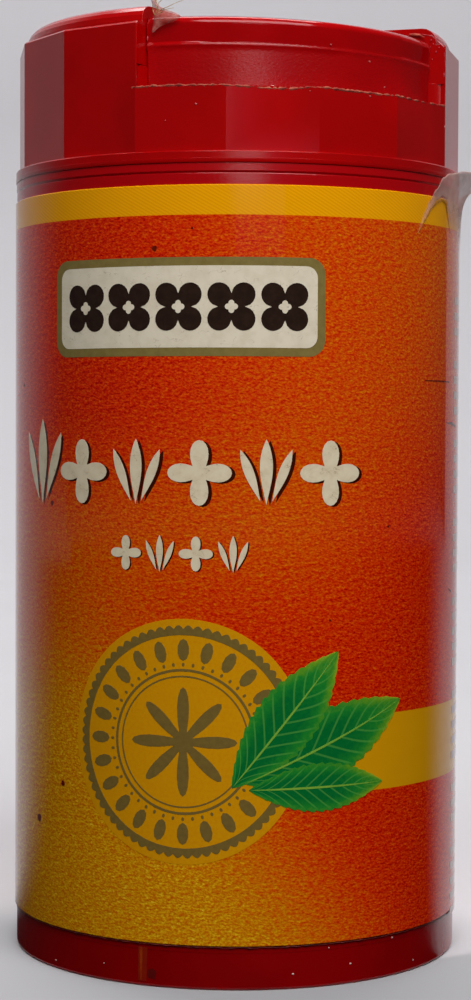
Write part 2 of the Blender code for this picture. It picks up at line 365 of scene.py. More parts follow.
def milky_film():
    """Thin clear wrap, milky and creased, that fades where it still sticks to the label."""
    paint = Finish("milky_film", 0.5)
    crease = paint.noise(paint.solid_place(), 0.45, 3)
    along, lift = paint.uv_place("film_place")
    near_tip = lift.step(0, 0.75)
    free_corner = along.step(0.3, 0.2) * lift.step(0, 0.3)
    milky = paint.calc("MAXIMUM", near_tip, free_corner) * along.step(-0.01, 0.15)
    uneven = crease.step(0.35, 0.7) * 0.25 + 0.85
    clean, dirty = colour(218, 168, 160), colour(216, 188, 172)
    paint.set("Base Color", paint.mix(crease.step(0.3, 0.7), clean, dirty))
    paint.set("Specular IOR Level", 0.25)
    paint.set("Alpha", milky * uneven * 0.56)
    paint.bump(crease, 0.00012)
    return paint.material


def plain_surface(name, shade, roughness, fleck_shade, scale, alpha=1):
    """Flecked look of a thread, a grain or a patch of dirt."""
    paint = Finish(name, roughness)
    fleck = paint.noise(paint.solid_place(), scale, 3, 0.6)
    paint.set("Base Color", paint.mix(fleck.step(0.4, 0.65), colour(*shade), colour(*fleck_shade)))
    paint.set("Alpha", alpha)
    paint.bump(fleck, 0.00005)
    return paint.material


# Meshes


def new_object(name, shape, surface, smooth_angle):
    """Turn a bmesh into an object whose edges are sharp beyond that angle."""
    mesh = bpy.data.meshes.new(name)
    shape.to_mesh(mesh)
    shape.free()
    mesh.shade_smooth()
    mesh.set_sharp_from_angle(angle=radians(smooth_angle))
    mesh.materials.append(surface)
    return in_scene(name, mesh)


def add_piece(name, shape, surface, replaced=None, smooth_angle=40):
    """Turn a bmesh into a finished piece that rides on the jar."""
    piece = new_object(name, shape, surface, smooth_angle)
    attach(piece, BODY)
    if replaced:
        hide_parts(replaced)
    return piece


def merged_copy(node):
    """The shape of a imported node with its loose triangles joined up."""
    shape = bmesh.new()
    shape.from_mesh(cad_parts[node].data)
    nearly_equal = 0.002 * MM
    bmesh.ops.remove_doubles(shape, verts=shape.verts, dist=nearly_equal)
    bmesh.ops.dissolve_degenerate(shape, edges=shape.edges, dist=nearly_equal)
    bmesh.ops.dissolve_limit(
        shape, angle_limit=radians(0.3), verts=shape.verts, edges=shape.edges
    )
    return shape


def skin(loops, ends="capped", closed=True):
    """bmesh between neighbouring loops of points, whose last points join their first if closed.

    The first and the last loop are "capped", "joined" to each other or left "open".
    """
    shape = bmesh.new()
    rings = [[shape.verts.new(point) for point in loop] for loop in loops]
    following = rings[1:] + (rings[:1] if ends == "joined" else [])
    for first, second in zip(rings, following):
        for k in range(len(first) - (not closed)):
            n = (k + 1) % len(first)
            shape.faces.new((first[k], first[n], second[n], second[k]))
    if ends == "capped":
        shape.faces.new(rings[0][::-1])
        shape.faces.new(rings[-1])
    bmesh.ops.recalc_face_normals(shape, faces=shape.faces)
    return shape


def write_uv(shape, name, pattern):
    """UV map whose values at each corner follow from its vertex."""
    place = shape.loops.layers.uv.new(name)
    for loop in (loop for face in shape.faces for loop in face.loops):
        loop[place].uv = pattern(loop.vert)


def soften_edges(piece, width, angle=30, flatness=50):
    """Round the piece's edges a little. Above 50, flatness shades large faces as flat."""
    filled_in(
        piece.modifiers.new("soft_edges", "BEVEL"), width=width * MM, segments=2,
        limit_method="ANGLE", angle_limit=radians(angle), use_clamp_overlap=True,
    )
    filled_in(
        piece.modifiers.new("flat_faces", "WEIGHTED_NORMAL"), keep_sharp=True,
        weight=flatness, thresh=0,
    )


def thicken(piece):
    """Give a sheet of film its thickness."""
    filled_in(piece.modifiers.new("wall", "SOLIDIFY"), thickness=0.05 * MM, offset=0)


def rope(name, strand, surface, sides=6):
    """Closed uneven strand through (point, radius in millimetres) pairs."""
    points = [point for point, radius in strand]
    loops = []
    angles = [FULL_TURN * n / sides for n in range(sides)]
    for k, (point, radius) in enumerate(strand):
        before = points[max(0, k - 1)]
        after = points[min(len(points) - 1, k + 1)]
        along = (after - before).normalized()
        side = along.cross(Vector((0, 0, 1))).normalized()
        up = side.cross(along)
        loops.append([
            point + (side * cos(angle) + up * sin(angle)) * radius * MM for angle in angles
        ])
    add_piece(name, skin(loops), surface)


def grains(name, places, surface):
    """Small flattened grains at listed places, as (phi, radius, height, size) in millimetres."""
    shape = bmesh.new()
    for phi, radius, height, size in places:
        stretch = Matrix.Diagonal((size * MM, 0.4 * size * MM, 0.7 * size * MM, 1))
        turn = Matrix.Rotation(radians(phi), 4, "Z")
        place = Matrix.Translation(at(phi, radius, height)) @ turn @ stretch
        bmesh.ops.create_icosphere(shape, subdivisions=1, radius=1, matrix=place)
    add_piece(name, shape, surface)


# Geometry Nodes


class Flow(NodeTree):
    """A Geometry Nodes tree with named inputs."""

    def __init__(self, name, **inputs):
        super().__init__(bpy.data.node_groups.new(name, "GeometryNodeTree"))
        self.add_socket("Shape", "Geometry")
        self.keys = {label: self.add_socket(label, kind) for label, kind in inputs.items()}
        self.add_socket("Shape", "Geometry", "OUTPUT")
        start = self.tree.nodes.new("NodeGroupInput")
        self.inputs = [Value(self, start.outputs[label]) for label in ("Shape", *inputs)]

    def add_socket(self, label, kind, side="INPUT"):
        kind = "NodeSocket" + kind
        return self.tree.interface.new_socket(label, in_out=side, socket_type=kind).identifier

    def finish(self, shape, surface):
        whole = self.made("GeometryNodeRealizeInstances", {"Geometry": shape})
        named = self.made("GeometryNodeSetMaterial", {"Geometry": whole, "Material": surface})
        self.put(self.tree.nodes.new("NodeGroupOutput").inputs[0], named)
        return self

    def bake(self, host_mesh, **values):
        """Mesh that the tree makes on the host mesh with these input values."""
        host = in_scene("flow_host", host_mesh)
        step = filled_in(host.modifiers.new("flow", "NODES"), node_group=self.tree)
        for label, value in values.items():
            step[self.keys[label]] = value
        depsgraph = bpy.context.evaluated_depsgraph_get()
        mesh = bpy.data.meshes.new_from_object(host.evaluated_get(depsgraph))
        bpy.data.objects.remove(host, do_unlink=True)
        return mesh


def ring_of_marks(surface):
    """Flow that sets flat marks round a circle, each pointing outwards."""
    flow = Flow(
        "ring_of_marks", Marks="Int", Ring_Radius="Float", Mark_Length="Float",
        Mark_Width="Float", Mark_Corners="Int",
    )
    shape, count, radius, length, width, corners = flow.inputs
    circle = "GeometryNodeMeshCircle"
    ring = flow.made(circle, {"Vertices": count, "Radius": radius})
    mark = flow.made(circle, {"Vertices": corners, "Radius": 0.5}, fill_type="NGON")
    outward = flow.made("FunctionNodeAlignRotationToVector", {
        "Vector": flow.made("GeometryNodeInputPosition", {}),
    }, axis="X", pivot_axis="Z")
    size = flow.made("ShaderNodeCombineXYZ", {"X": length, "Y": width, "Z": 1})
    return flow.finish(flow.made("GeometryNodeInstanceOnPoints", {
        "Points": ring, "Instance": mark, "Rotation": outward, "Scale": size,
    }), surface)


def scattered_specks(surface):
    """Flow that scatters small flattened grains over the host's faces."""
    flow = Flow("scattered_specks", Density="Float", Seed="Int", Smallest="Float", Largest="Float")
    shape, density, seed, smallest, largest = flow.inputs
    points = flow.made("GeometryNodeDistributePointsOnFaces", {
        "Mesh": shape, "Density": density, "Seed": seed,
    }, "Points")
    facing = Value(flow, points.socket.node.outputs["Rotation"])
    grain = flow.made("GeometryNodeMeshIcoSphere", {"Radius": 1, "Subdivisions": 1})
    pick = flow.made("FunctionNodeRandomValue", {"Seed": seed}, 1, data_type="FLOAT")
    size = flow.made("ShaderNodeMapRange", {
        "Value": flow.calc("POWER", pick, 4), "To Min": smallest, "To Max": largest,
    })
    return flow.finish(flow.made("GeometryNodeInstanceOnPoints", {
        "Points": points, "Instance": grain, "Rotation": facing,
        "Scale": flow.scaled((1, 1, 0.4), size),
    }), surface)


# The moulded parts


def turned_ring(name, profile, surface, rounding=0):
    """Lathe-turned ring at a joint, so that the joint is a fine line and no black slit."""
    steps = 160
    loops = [[at(360 * k / steps, radius, z) for k in range(steps)] for radius, z in profile]
    piece = add_piece(name, skin(loops, "joined"), surface)
    if rounding:
        soften_edges(piece, rounding)


def jamb_web(name, mirror, surface):
    """Small block of the cap that fills the corner between the lower jamb and the flap."""
    plan = ((48.9, 22.3), (45, 22.45), (43.9, 21.5), (43.9, 19.7), (48.9, 19.7))
    low, high = 85.62, 87.79
    shape = skin([
        [at(FLAP_MIDDLE_PHI - mirror * side, radius, height) for side, radius in plan]
        for height in (low, high)
    ])
    soften_edges(add_piece(name, shape, surface), 0.03)


FLAP_SIDEWAYS = at(FLAP_MIDDLE_PHI + 90, 1, 0).normalized()


def round_flap_corners(shape):
    """Give the flap's upper side edges a generous rounding."""
    edges = []
    for edge in shape.edges:
        if len(edge.link_faces) != 2:
            continue
        side = [abs(face.normal.dot(FLAP_SIDEWAYS)) > 0.5 for face in edge.link_faces]
        upward = [face.normal.z > 0.2 for face in edge.link_faces]
        if (side[0] and upward[1]) or (side[1] and upward[0]):
            edges.append(edge)
    bmesh.ops.bevel(
        shape, geom=edges, offset=0.9 * MM, segments=4, profile=0.5, affect="EDGES",
        clamp_overlap=True,
    )


# Rows of corners across the flap that move: between which heights and radii a row lies,
# and how far it goes outwards and upwards, in millimetres
RIDGE_MOVES = (
    ((89.6, 90.1), (21.03, 21.1), -0.09, 0),
    ((91.1, 91.8), (21.03, 30), 0.06, 0),
    ((89.2, 89.85), (21.1, 30), -0.05, 0),
    ((89, 89.45), (20.85, 21), 0, -0.35),
)


def soften_ridge(shape):
    """Make the flap's cross ridge fainter, its lower slope gentler and its panel lean outwards."""
    for vertex in shape.verts:
        height = vertex.co.z / MM
        radius = hypot(vertex.co.x, vertex.co.y) / MM
        for (low, high), (near, far), outward, upward in RIDGE_MOVES:
            if low < height < high and near < radius < far:
                vertex.co.x *= 1 + outward / radius
                vertex.co.y *= 1 + outward / radius
                vertex.co.z += upward * MM
                break


def widen_flap(shape):
    """Close the flap's joints with the cap to hairlines at its sides and its lower edge."""
    half_width, side_growth, drop = 13, 0.22, 0.2
    low = min(vertex.co.z for vertex in shape.verts)
    for vertex in shape.verts:
        side = vertex.co.dot(FLAP_SIDEWAYS)
        vertex.co += FLAP_SIDEWAYS * (side_growth * side / half_width)
        if vertex.co.z < low + 0.5 * MM:
            vertex.co.z -= drop * MM


def build_plastic():
    cap_red = red_plastic("cap_plastic_red", colour(168, 0, 1), 0.2, 0.000006, 0.03)
    flap_red = red_plastic(
        "flap_plastic_red", colour(160, 0, 3), 0.24, 0.000022, 0.15, glossy_from=89.6
    )
    body_red = red_plastic(
        "body_plastic_red", colour(140, 0, 3), 0.2, 0.000012, 0.1, high_shade=colour(160, 1, 6)
    )
    cap = add_piece(
        "moulded_cap", merged_copy("faceted_cap"), cap_red, "faceted_cap", 12
    )
    soften_edges(cap, 0.08)
    shape = merged_copy("pour_flap")
    soften_ridge(shape)
    round_flap_corners(shape)
    widen_flap(shape)
    flap = add_piece("snap_flap", shape, flap_red, "pour_flap")
    soften_edges(flap, 0.22, 50, 90)
    jar = add_piece("moulded_jar", merged_copy("jar_body"), body_red, "jar_body")
    soften_edges(jar, 0.08)
    jamb_web("jamb_web_1", 1, cap_red)
    jamb_web("jamb_web_2", -1, cap_red)
    turned_ring("flange_lip", (
        (21.5, 78.36), (22.94, 78.36), (22.96, 78.4), (22.96, 78.8), (21.5, 78.8),
    ), cap_red, 0.02)
    turned_ring("neck_wall", (
        (21.5, 76.3), (22.84, 76.3), (22.84, 77.28), (22.79, 77.4), (22.84, 77.5),
        (22.9, 77.6), (22.86, 78.3), (22.84, 78.37), (21.5, 78.38),
    ), body_red, 0.02)
    turned_ring("label_foot", (
        (21.5, 3.6), (22.815, 3.6), (22.815, 4.24), (21.5, 4.24),
    ), body_red)
    return cap, jar


# The printed wrap


def label_sleeve(surface):
    """Wrap round the jar in fine steps, whose end lies over its start down the back."""
    steps, lip, rounding = 288, 0.25, 0.08
    outer = [(SEAM_PHI - lip, LABEL_RADIUS)]
    for k in range(steps):
        turn = 360 * k / steps
        rise = SEAM_RISE if turn < SEAM_OVERLAP else 0
        outer.append((SEAM_PHI + turn, LABEL_RADIUS + rise))
    inner = [(phi, LABEL_RADIUS - LABEL_WALL) for phi, radius in outer]
    pulled = [(phi, radius - rounding) for phi, radius in outer]
    shape = skin([[at(phi, radius, height) for phi, radius in ring] for ring, height in (
        (inner, LABEL_LOW),
        (pulled, LABEL_LOW),
        (outer, LABEL_LOW + rounding),
        (outer, LABEL_HIGH - rounding),
        (pulled, LABEL_HIGH),
        (inner, LABEL_HIGH),
    )], "joined")
    add_piece("printed_wrap", shape, surface, "wrap_label")


def lay_print(name, polygons, surface, layer, pattern=None):
    """Thin closed patch of ink, cut from flat polygons and bent round the label.

    pattern is a UV map's name and a function that turns (arc, height) into its two values.
    """
    shape = bmesh.new()
    for polygon in polygons:
        shape.faces.new([shape.verts.new((arc, height, 0)) for arc, height in polygon])
    bmesh.ops.remove_doubles(shape, verts=shape.verts, dist=0.002)
    arcs = [vertex.co.x for vertex in shape.verts]
    for cut in range(ceil(min(arcs)), floor(max(arcs)) + 1):
        bmesh.ops.bisect_plane(
            shape, geom=shape.verts[:] + shape.edges[:] + shape.faces[:], dist=0.0005,
            plane_co=(cut, 0, 0), plane_no=(1, 0, 0),
        )
    bmesh.ops.triangulate(shape, faces=shape.faces)
    lifted = bmesh.ops.extrude_face_region(shape, geom=shape.faces[:])["geom"]
    raised = [item for item in lifted if isinstance(item, bmesh.types.BMVert)]
    bmesh.ops.translate(shape, verts=raised, vec=(0, 0, 1))
    if pattern:
        write_uv(shape, pattern[0], lambda vertex: pattern[1](*vertex.co.xy))
    for vertex in shape.verts:
        radius = LABEL_RADIUS + (layer if vertex.co.z > 0.5 else -INK_DEPTH)
        vertex.co = at(vertex.co.x / ARC_PER_DEGREE, radius, vertex.co.y)
    bmesh.ops.recalc_face_normals(shape, faces=shape.faces)
    add_piece(name, shape, surface)


def around(centre, radius, angle):
    """Flat point at a radius and an angle in radians from a centre."""
    return centre[0] + radius * cos(angle), centre[1] + radius * sin(angle)


def rounded_box(left, right, bottom, top, radius, steps=8):
    points = []
    for x, y, start in (
        (right - radius, top - radius, 0),
        (left + radius, top - radius, 90),
        (left + radius, bottom + radius, 180),
        (right - radius, bottom + radius, 270),
    ):
        for k in range(steps + 1):
            points.append(around((x, y), radius, radians(start + 90 * k / steps)))
    return points


def blossom(centre, inner, outer, petals, point=1, turn=0, steps=14):
    """Closed outline whose edge swings between two radii once per petal."""
    points = []
    for k in range(petals * steps):
        angle = FULL_TURN * k / (petals * steps)
        swing = abs(cos(0.5 * petals * angle)) ** point
        radius = inner + (outer - inner) * swing
        points.append(around(centre, radius, angle + radians(turn)))
    return points


def ring_band(centre, inner, outer, teeth=0, tooth=0, steps=120):
    """Flat ring as a list of polygons, with a toothed outer edge if asked."""
    marks = []
    for k in range(steps + 1):
        angle = FULL_TURN * k / steps
        edge = outer + tooth * abs(sin(0.5 * teeth * angle))
        marks.append((around(centre, inner, angle), around(centre, edge, angle)))
    return [(*here, after[1], after[0]) for here, after in zip(marks, marks[1:])]


def sprig(centre, foot, height):
    """Three narrow pointed petals that fan upwards, as polygons."""
    shapes = []
    for base, tip, width in (
        ((0, 0), (0, 1), 0.2),
        ((-0.09, 0.05), (-0.4, 0.84), 0.15),
        ((0.09, 0.05), (0.4, 0.84), 0.15),
    ):
        start = (centre + base[0] * height, foot + base[1] * height)
        end = (centre + tip[0] * height, foot + tip[1] * height)
        shapes += leaf(start, end, width * height, 0.58, steps=16, columns=2)
    return shapes


def leaf_half_width(t, width, belly):
    """Half the width of a pointed leaf at t along its midrib, widest at belly."""
    power = log(0.5) / log(belly)
    return 0.5 * width * sin(pi * min(1, max(0, t)) ** power) ** 0.85


def leaf(base, tip, width, belly, steps=60, teeth=0, columns=8):
    """Pointed leaf from base to tip as small polygons, with a toothed rim if asked."""
    along = Vector(tip) - Vector(base)
    side = Vector((-along.y, along.x)).normalized()
    lines = []
    for k in range(steps + 1):
        t = k / steps
        half = leaf_half_width(t, width, belly) * (1 + teeth * ((k % 4) / 3 - 0.5))
        middle = Vector(base) + along * t
        lines.append([middle + side * half * (2 * j / columns - 1) for j in range(columns + 1)])
    return [
        (here[j], here[j + 1], after[j + 1], after[j])
        for here, after in zip(lines, lines[1:]) for j in range(columns)
    ]


def leaf_pattern(base, tip, width, belly):
    """Function from the flat print to (along, across) on a leaf, for its veins."""
    along = Vector(tip) - Vector(base)
    length = along.length
    along /= length
    side = Vector((-along.y, along.x))

    def place(arc, height):
        offset = Vector((arc, height)) - Vector(base)
        t = offset.dot(along) / length
        half = max(0.15, leaf_half_width(t, width, belly))
        return t, max(-1, min(1, offset.dot(side) / half))

    return place


def build_plate():
    """Pale plate with a gold rim and a row of five blossoms."""
    gold = ink("dull_gold_ink", (128, 112, 62), (108, 92, 46))
    paper = ink("off_white_ink", (222, 211, 188), (204, 191, 164), 0.7, hairs=0.5)
    dark = ink("dark_brown_ink", (38, 24, 18), (52, 36, 28))
    left, right = -49 * ARC_PER_DEGREE, 22 * ARC_PER_DEGREE
    low, high, rim = 60.2, 69.5, 0.8
    lay_print("plate_frame", [rounded_box(left, right, low, high, 1.6)], gold, FIRST_LAYER)
    field = rounded_box(left + rim, right - rim, low + rim, high - rim, 1.1)
    lay_print("plate_field", [field], paper, SECOND_LAYER)
    first, last = -38.5 * ARC_PER_DEGREE, 12 * ARC_PER_DEGREE
    centres = [(first + (last - first) * k / 4, 0.5 * (low + high)) for k in range(5)]
    marks = [blossom(centre, 1.25, 2.75, 4, 0.7, turn=45) for centre in centres]
    lay_print("plate_blossoms", marks, dark, THIRD_LAYER)
    eyes = [blossom(centre, 0.4, 0.62, 4) for centre in centres]
    lay_print("plate_blossom_eyes", eyes, paper, FOURTH_LAYER)


def build_ornament():
    """Two rows of sprigs and four-petalled blossoms, each with a dark printed shadow."""
    cream = ink("cream_ink", (222, 208, 178), (202, 182, 148), 0.9, hairs=0.5)
    shade = ink("ornament_shadow_ink", (52, 12, 2), (74, 20, 2), 2)
    first = -55.5 * ARC_PER_DEGREE
    row = sprig(first, 46, 8.2)
    for k in (1, 3, 5):
        row.append(blossom((first + 6.35 * k, 49.2), 0.9, 3.1, 4, 1.4, turn=90))
    for k in (2, 4):
        row += sprig(first + 6.35 * k, 46.2, 6.2)
    first = -26.5 * ARC_PER_DEGREE
    small = []
    for k in (0, 2):
        small.append(blossom((first + 3.55 * k, 41.55), 0.45, 1.65, 4, 1.4, turn=90))
        small += sprig(first + 3.55 * (k + 1), 39.8, 3.5)
    for name, polygons, right, down in (
        ("ornament_row", row, 0.35, 0.12),
        ("ornament_small", small, 0.14, 0.06),
    ):
        moved = [[(arc + right, height - down) for arc, height in item] for item in polygons]
        lay_print(name + "_shadow", moved, shade, SHADOW_LAYER)
        lay_print(name, polygons, cream, SECOND_LAYER)


def build_roundel():
    """Toothed roundel with two rings of marks and an eight-rayed star."""
    yellow = ink("roundel_yellow_ink", (210, 146, 6), (202, 128, 4), 3)
    gold = ink("seal_gold_ink", (120, 98, 46), (102, 84, 40), 2)
    centre = (-11.7 * ARC_PER_DEGREE, 23.7)
    radius = 11.7
    lay_print("roundel", [blossom(centre, radius, radius, 4, steps=24)], yellow, FIRST_LAYER)
    rings = ring_band(centre, 10.15, 10.75, teeth=72, tooth=0.35, steps=432)
    rings += ring_band(centre, 6.7, 6.95)
    rings += ring_band(centre, 6.15, 6.3)
    lay_print("roundel_rings", rings, gold, SECOND_LAYER)
    flow = ring_of_marks(gold)
    empty = bpy.data.meshes.new("empty_host")
    marks = []
    for count, ring_radius, length, width, corners in (
        (24, 8.75, 2.1, 1.15, 10),
        (48, 7.35, 0.4, 0.3, 6),
    ):
        mesh = flow.bake(
            empty, Marks=count, Ring_Radius=ring_radius, Mark_Length=length, Mark_Width=width,
            Mark_Corners=corners,
        )
        for polygon in mesh.polygons:
            points = [mesh.vertices[i].co for i in polygon.vertices]
            marks.append([(centre[0] + point.x, centre[1] + point.y) for point in points])
    lay_print("roundel_marks", marks, gold, SECOND_LAYER)
    lay_print("roundel_star", [blossom(centre, 1, 5.2, 8, 2.2)], gold, SECOND_LAYER)


def build_leaves():
    """Three printed leaves, each with its midrib."""
    green = leaf_ink()
    rib_green = ink("leaf_vein_ink", (128, 172, 58), (84, 150, 48), 1)
    belly = 0.5
    for k, (base, tip, width) in enumerate((
        ((0, 19.4), (10.4, 32.2), 6),
        ((1.2, 19.8), (18, 27.2), 6.4),
        ((1.6, 19.2), (15.6, 19.4), 4.6),
    )):
        name = f"leaf_{k + 1}"
        layer = THIRD_LAYER - 0.004 * (k % 2)
        pattern = ("leaf_place", leaf_pattern(base, tip, width, belly))
        lay_print(name, leaf(base, tip, width, belly, teeth=0.09), green, layer, pattern)
        rib = leaf(base, tip, 0.2, 0.42, 24, columns=1)
        lay_print(name + "_rib", rib, rib_green, FOURTH_LAYER)


def build_side_print():
    """Plain bars on the label's right side, in the place of small print."""
    grey = ink("small_print_ink", (166, 138, 130), (140, 112, 106), 1.5)
    dice = random.Random(21)
    left = 73.5 * ARC_PER_DEGREE
    full_width, thickness, line_pitch, gap = 20, 0.75, 1.55, 1.8
    bars = []
    height = 66
    while height > 9:
        rows = dice.choice((3, 4, 5))
        for k in range(rows):
            right = left + (full_width if k < rows - 1 else dice.uniform(6, 15))
            top = height + thickness
            bars.append([(left, height), (right, height), (right, top), (left, top)])
            height -= line_pitch
        height -= gap
    lay_print("side_bars", bars, grey, FIRST_LAYER)


# Loose film


def ease(value, start, end):
    t = min(1, max(0, (value - start) / (end - start)))
    return t * t * (3 - 2 * t)


def between(table, value):
    """Smooth reading from a table of (key, result) pairs."""
    for (low, first), (high, second) in zip(table, table[1:]):
        if value <= high:
            return first + (second - first) * ease(value, low, high)
    return table[-1][1]


# Lower and upper edge of the peeled film as (phi, height) pairs
FILM_ROOT = (
    (50.1, 72.4), (53.1, 73.7), (55.9, 74.9), (58.9, 75.7), (61.8, 76.1), (64.5, 75.8),
    (66, 74.5), (68, 73), (72, 72.2), (80, 71.6), (95, 70.8), (110, 70.8),
    (124, 72.3),
)
FILM_TIP = (
    (50.1, 72.5), (51.8, 73.6), (53.1, 74.6), (54.9, 75.8), (56.8, 76.9), (59.9, 78.2),
    (62.9, 78.7), (69.7, 79.15), (80, 79.3), (95, 79.1), (110, 77), (124, 72.6),
)


def film_point(u, v):
    """Point on the peeled film: u runs round the jar, v from its root to its free edge."""
    phi = FILM_ROOT[0][0] + (FILM_ROOT[-1][0] - FILM_ROOT[0][0]) * u
    root = between(FILM_ROOT, phi)
    height = root + (between(FILM_TIP, phi) - root) * v
    rise = max(0, (height - 70) / 9)
    flare = 3.4 * ease(phi, 58, 90) * (1 - ease(phi, 100, 124)) * rise ** 8
    bulge = 0.45 * ease(phi, 51, 60) * (1 - ease(phi, 64, 78))
    bulge *= sin(0.5 * pi * v)
    ripple = 0.1 * sin(23 * u + 5 * v) * v
    clearance = 0.08
    return at(phi, LABEL_RADIUS + clearance + flare + bulge + ripple, height)


def build_peeled_film():
    """Corner of clear film that peels off at the label's upper right, and a brown strand at its
    crease that also paints its shadow.
    """
    columns, rows = 110, 20
    marks = [
        [((i / columns) ** 1.3, j / rows) for j in range(rows + 1)] for i in range(columns + 1)
    ]
    shape = skin([[film_point(*mark) for mark in column] for column in marks], "open", False)
    shape.verts.index_update()
    flat_marks = sum(marks, [])
    write_uv(shape, "film_place", lambda vertex: flat_marks[vertex.index])
    thicken(add_piece("peeled_film", shape, milky_film(), "film_curl"))

    # Brown strand along the arch: partly the crease, partly the film's shadow on the label painted
    # in
    crease = plain_surface("brown_crease_and_shadow", (176, 122, 30), 0.5, (140, 90, 30), 2, alpha=0.35)
    arch = [at(phi, LABEL_RADIUS + 0.07, height) for phi, height in FILM_ROOT[:8]]
    radii = [0.03, 0.05, 0.07, 0.08, 0.08, 0.08, 0.06, 0.03]
    rope("crease_and_film_shadow", list(zip(arch, radii)), crease)


def build_torn_film():
    """Torn strip of film in the flap's left corner, with loose threads."""
    torn = plain_surface("torn_film_brown", (176, 66, 60), 0.35, (206, 130, 118), 1.2, alpha=0.42)
    row_count, strips = 26, 6
    low, length, wide_at = 90.9, 4, 92.25
    radius = 21.55
    rows = []
    for k in range(row_count + 1):
        t = k / row_count
        height = low + length * t
        swell = exp(-((height - wide_at) / 0.74) ** 2)
        width = 0.12 + 0.33 * ease(t, 0, 0.3) + 2.25 * swell
        left = -21.6 + degrees(0.15 * sin(5 * t) / radius)
        row = []
        for s in range(strips + 1):
            share = s / strips
            phi = left + degrees(width * share / radius)
            bulge = 0.25 * sin(pi * share) * swell
            bulge += 0.05 * sin(17 * t + 5 * share)
            row.append(at(phi, radius + bulge, height))
        rows.append(row)
    thicken(add_piece("torn_film", skin(rows, "open", False), torn, "film_scrap"))

    straw = plain_surface("thread_straw", (196, 168, 96), 0.6, (150, 96, 50), 2)
    dice = random.Random(4)
    points_each = 13
    for k, (phi, reach, bend) in enumerate((
        (-20.6, 2.6, 0.6), (-20.2, 2.2, 1.2), (-19.8, 1.2, 2.6), (-20.9, 2.9, -0.3),
        (-19.9, 0.5, 1.6),
    )):
        strand = []
        for n in range(points_each):
            t = n / (points_each - 1)
            sway = 0.12 * sin(9 * t + k) + 0.05 * dice.uniform(-1, 1)
            side = degrees((bend * t * t + sway) / RECESS_RADIUS)
            point = at(phi + side, RECESS_RADIUS + 0.1 + 0.1 * k * t, 92.5 + reach * t)
            strand.append((point, 0.045 * (1 - 0.5 * t)))
        rope(f"thread_{k + 1}", strand, straw, sides=5)


# Wear and dirt


def edge_with_wear_and_glint(name, first, last, surface, seed):
    """Rough raised edge between two (phi, radius, height) ends, which glints in places; its pale
    pink is partly wear and partly painted highlight.
    """
    dice = random.Random(seed)
    first, last = at(*first), at(*last)
    count = max(6, round((last - first).length / (0.12 * MM)))
    rope(name, [
        (first.lerp(last, k / count), 0.045 + 0.03 * dice.uniform(-1, 1))
        for k in range(count + 1)
    ], surface)


def build_wear():
    """Worn mould edges of the recess and single grains in its right corner, in a pale pink that is
    partly wear and partly painted highlight.
    """
    # Pale pink: partly whitened wear, partly painted highlight
    wear_and_painted_glint = plain_surface("worn_edge_pink", (206, 96, 104), 0.35, (168, 16, 24), 2)
    first_seed = 31
    for k, (name, first, last) in enumerate((
        ("left_inner", (-23.3, 21.25, 90.2), (-23.4, 20.9, 92.3)),
        ("left_outer", (-24.7, 22.82, 88.2), (-24.7, 22.82, 91.6)),
        ("right_outer", (65, 22.72, 88), (65, 22.72, 91.3)),
        ("right_shoulder", (65, 22.68, 91.35), (64.7, 21.5, 92.45)),
        ("right_top", (64.7, 21.5, 92.5), (64.3, 19.9, 92.8)),
    )):
        edge_with_wear_and_glint("worn_" + name, first, last, wear_and_painted_glint, first_seed + k)
    grains("jamb_glint_specks", (
        (64.5, 21.4, 92.1, 0.16), (64.6, 21.3, 91.4, 0.12), (64.7, 21.9, 90.9, 0.14),
        (64.6, 21.6, 91.7, 0.1), (64.7, 22.2, 91.3, 0.1), (64.6, 21.5, 90.2, 0.08),
    ), wear_and_painted_glint)


# Height of the dirt line under the flap as (phi, height) pairs
DIRT_HEIGHTS = (
    (-26, 85.6), (-18, 85.7), (-5, 85.6), (1.4, 85.5), (8.4, 85.36), (12.8, 85.36),
    (18.8, 85.54), (23.6, 85.58), (29.6, 85.5), (38.2, 85.46), (55.3, 85.42), (66, 85.5),
)


def build_dirt_lines():
    """Dirt caught under the flap, a brown mark in the recess's right corner, and a dark line under
    the label's foot that is partly dirt and partly painted shade.
    """
    dirt = plain_surface("dirt_brown", (140, 44, 32), 0.8, (186, 96, 72), 0.9)
    dice = random.Random(11)
    steps, first_phi, sweep = 140, -25.6, 91.2
    flat_radius = CAP_CORNER_RADIUS * cos(radians(0.5 * CAP_FACET))
    strand = []
    for k in range(steps + 1):
        phi = first_phi + sweep * k / steps
        off_middle = (phi - CAP_CORNER_PHI) % CAP_FACET - 0.5 * CAP_FACET
        radius = flat_radius / cos(radians(off_middle))
        height = between(DIRT_HEIGHTS, phi) + 0.035 * dice.uniform(-1, 1)
        strand.append((at(phi, radius - 0.07, height), 0.11 + 0.06 * dice.uniform(-1, 1)))
    rope("dirt_line", strand, dirt)
    # Brown mark at the top of the flap's joint in the recess's right corner
    rope("jamb_corner_mark", [
        (at(63.6, 19.2, 92.75), 0.06), (at(63.7, 19.7, 92.72), 0.16),
        (at(63.8, 20.2, 92.62), 0.13), (at(63.6, 20.8, 92.35), 0.05),
    ], dirt)

    # Dark red line under the label's overhanging foot: partly dirt, partly painted shade
    dirt_and_shade_look = plain_surface("dark_dirt_and_shade_at_foot", (72, 10, 8), 0.7, (120, 34, 22), 1.5)
    strand = []
    for k in range(241):
        point = at(0.75 * k - 90, 22.93, 4.16 + 0.04 * dice.uniform(-1, 1))
        strand.append((point, 0.025 + 0.05 * dice.uniform(0, 1) ** 3))
    rope("dirt_and_shade_at_foot", strand, dirt_and_shade_look)


